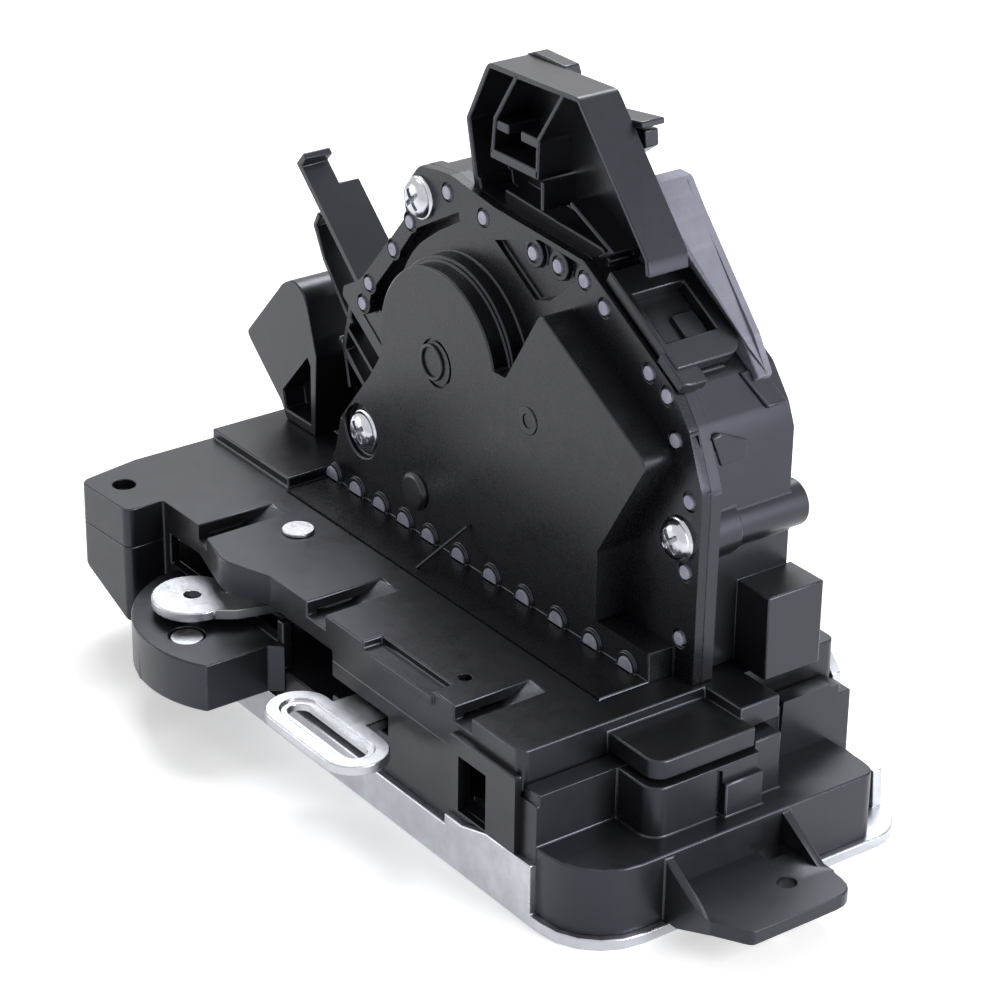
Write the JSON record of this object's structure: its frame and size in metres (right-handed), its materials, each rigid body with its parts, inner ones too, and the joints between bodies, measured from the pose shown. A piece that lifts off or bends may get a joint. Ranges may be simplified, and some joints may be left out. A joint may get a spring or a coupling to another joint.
{
  "type": "door latch actuator",
  "caption": "Side door latch on a bent steel plate: claw and pawl under a moulded deck, two release levers, and an upright electric lock actuator with a worm drive behind a round-lobed cover.",
  "frame": {"origin": "On the outer face of the latch plate, 8 mm from the centre line of the striker slot and beside its inner end", "axes": "+Z from the plate's outer face to the deck and the top of the actuator, +X towards the rounded end with the fixing tab, +Y towards the mouth of the striker slot"},
  "size_m": [0.1876, 0.0954, 0.1315],
  "materials": {
    "moulded_black": "satin moulded, near black",
    "plate_steel": "bright zinc plate",
    "lever_steel": "bright zinc plate",
    "pin_steel": "smooth turned",
    "screw_zinc": "bright zinc plate",
    "stake_plastic": "melted dome, pale grey lilac",
    "hard_steel": "hardened, dark",
    "claw_plastic": "moulded",
    "rubber": "soft",
    "spring_steel": "drawn wire",
    "gear_plastic": "natural acetal",
    "can_steel": "drawn can",
    "contact_brass": "stamped strip",
    "plunger_plastic": "moulded red",
    "grainy_plastic": "coarse grain, grey black"
  },
  "bodies": {
    "base": {"latch_plate": "plate_steel", "latch_housing": "moulded_black", "lever_bracket": "moulded_black", "deck_cover": "moulded_black", "back_plate": "plate_steel", "claw_rivet": "pin_steel", "pawl_rivet": "pin_steel", "lever_stud": "pin_steel", "bracket_rivet": "pin_steel", "striker_buffer": "rubber", "claw_spring": "spring_steel", "pawl_spring": "spring_steel", "inside_lever_spring": "spring_steel", "actuator_housing": "moulded_black", "actuator_cover": "moulded_black", "heat_stakes": "stake_plastic", "edge_stakes": "stake_plastic", "cover_screws": "screw_zinc", "wheel_axle": "pin_steel", "motor_can": "can_steel", "motor_end_cap": "moulded_black", "motor_terminals": "contact_brass", "lock_lever_pin": "pin_steel", "lock_switch": "moulded_black", "contact_strips": "contact_brass", "connector_body": "moulded_black", "connector_pins": "contact_brass", "rear_case": "grainy_plastic", "harness_clip": "moulded_black"},
    "claw": {"claw": "hard_steel", "claw_coat": "claw_plastic"},
    "pawl": {"pawl": "hard_steel", "pawl_pin": "pin_steel"},
    "outside_lever": {"outside_lever": "lever_steel"},
    "inside_lever": {"inside_lever": "lever_steel"},
    "wheel": {"worm_wheel": "gear_plastic"},
    "rotor": {"motor_shaft": "pin_steel", "worm": "gear_plastic"},
    "lock_lever": {"lock_lever": "lever_steel"},
    "plunger": {"lock_plunger": "plunger_plastic"}
  },
  "joints": [
    {"name": "claw_turn", "type": "hinge", "parent": "base", "child": "claw", "pos_m": [0.007, 0.006, 0.0062], "axis": [0, 0, 1], "range_deg": [0, 50], "stiffness_Nm_per_rad": 0.05, "springref_deg": -22.92},
    {"name": "outside_lever_turn", "type": "hinge", "parent": "base", "child": "outside_lever", "pos_m": [-0.027, -0.006, 0.0184], "axis": [0, 0, -1], "range_deg": [0, 16], "stiffness_Nm_per_rad": 0.1, "springref_deg": -17.19},
    {"name": "pawl_turn", "type": "hinge", "parent": "base", "child": "pawl", "pos_m": [-0.027, -0.006, 0.0062], "axis": [0, 0, -1], "range_deg": [0, 16]},
    {"name": "inside_lever_turn", "type": "hinge", "parent": "base", "child": "inside_lever", "pos_m": [-0.0578, -0.02, 0.022], "axis": [0, 0, -1], "range_deg": [0, 20], "stiffness_Nm_per_rad": 0.05, "springref_deg": -17.19},
    {"name": "wheel_turn", "type": "hinge", "parent": "base", "child": "wheel", "pos_m": [-0.036, 0.015, 0.072], "axis": [0, 1, 0], "range_deg": [-60, 60]},
    {"name": "worm_spin", "type": "hinge", "parent": "base", "child": "rotor", "pos_m": [-0.0106, 0.013, 0.0821], "axis": [0.866, 0, -0.5], "range_deg": [-2045, 2045]},
    {"name": "lock_lever_turn", "type": "hinge", "parent": "base", "child": "lock_lever", "pos_m": [-0.0235, 0.018, 0.05035], "axis": [0, 1, 0], "range_deg": [-15.1, 15.1]},
    {"name": "plunger_slide", "type": "slide", "parent": "base", "child": "plunger", "axis": [1, 0, 0], "range_m": [0, 0.0006], "stiffness_N_per_m": 300, "springref_m": -0.0006}
  ],
  "couplings": [
    {"joint": "pawl_turn", "follows": "outside_lever_turn", "ratio": 1},
    {"joint": "worm_spin", "follows": "wheel_turn", "ratio": -34},
    {"joint": "lock_lever_turn", "follows": "wheel_turn", "ratio": -0.25}
  ]
}
